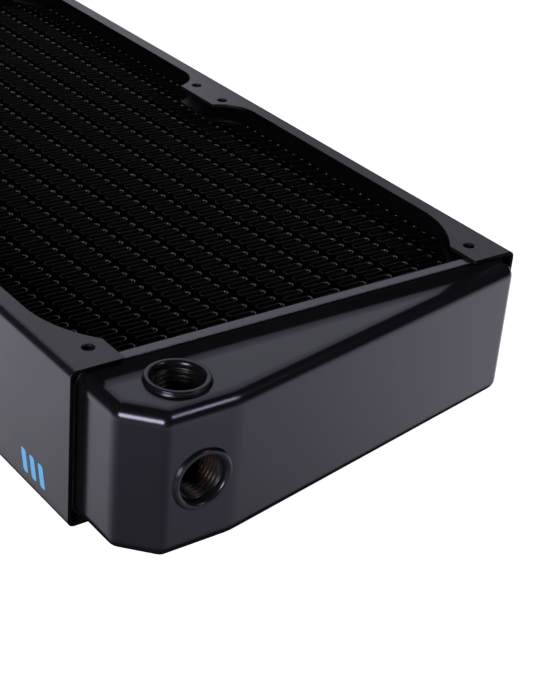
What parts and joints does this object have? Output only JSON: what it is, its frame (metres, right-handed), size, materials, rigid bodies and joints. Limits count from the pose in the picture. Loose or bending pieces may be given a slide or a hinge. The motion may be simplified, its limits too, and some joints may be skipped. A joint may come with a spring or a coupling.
{
  "type": "liquid cooling radiator",
  "caption": "Black crossflow water-cooling radiator: finned flat-tube core in steel side panels with fan screw ears, tapered end tanks with threaded ports.",
  "frame": {"origin": "centre of the radiator's footprint, at the level of the lower flanges' outer faces", "axes": "+X across the width, towards the side away from the front tank's ports; +Y along the length, from the front tank to the rear tank; +Z through the thickness, towards the upper fan face"},
  "size_m": [0.144, 0.3334, 0.045],
  "materials": {
    "panel_coat": "satin black powder coat on 1 mm steel sheet",
    "tank_coat": "semi-gloss black enamel on pressed brass and copper sheet",
    "core_coat": "thin matt black paint on copper tubes and fins",
    "port_coat": "semi-gloss black enamel outside, thin over reddish brass in the threads"
  },
  "bodies": {
    "root": {"side_panel_left": "panel_coat", "side_panel_right": "panel_coat", "screw_guard_top_front_left": "panel_coat", "screw_guard_top_front_right": "panel_coat", "screw_guard_top_middle_left": "panel_coat", "screw_guard_top_middle_right": "panel_coat", "screw_guard_top_rear_left": "panel_coat", "screw_guard_top_rear_right": "panel_coat", "screw_guard_bottom_front_left": "panel_coat", "screw_guard_bottom_front_right": "panel_coat", "screw_guard_bottom_middle_left": "panel_coat", "screw_guard_bottom_middle_right": "panel_coat", "screw_guard_bottom_rear_left": "panel_coat", "screw_guard_bottom_rear_right": "panel_coat", "header_pan_front": "tank_coat", "header_pan_rear": "tank_coat", "tank_front": "tank_coat", "tank_rear": "tank_coat", "port_top_front": "port_coat", "port_top_rear": "port_coat", "port_bottom_front": "port_coat", "port_bottom_rear": "port_coat", "port_end_front": "port_coat", "port_end_rear": "port_coat", "tube_01": "core_coat", "tube_02": "core_coat", "tube_03": "core_coat", "tube_04": "core_coat", "tube_05": "core_coat", "tube_06": "core_coat", "tube_07": "core_coat", "tube_08": "core_coat", "tube_09": "core_coat", "tube_10": "core_coat", "tube_11": "core_coat", "tube_12": "core_coat", "tube_13": "core_coat", "tube_14": "core_coat", "fin_strip_01": "core_coat", "fin_strip_02": "core_coat", "fin_strip_03": "core_coat", "fin_strip_04": "core_coat", "fin_strip_05": "core_coat", "fin_strip_06": "core_coat", "fin_strip_07": "core_coat", "fin_strip_08": "core_coat", "fin_strip_09": "core_coat", "fin_strip_10": "core_coat", "fin_strip_11": "core_coat", "fin_strip_12": "core_coat", "fin_strip_13": "core_coat", "fin_strip_14": "core_coat", "fin_strip_15": "core_coat"}
  },
  "joints": []
}
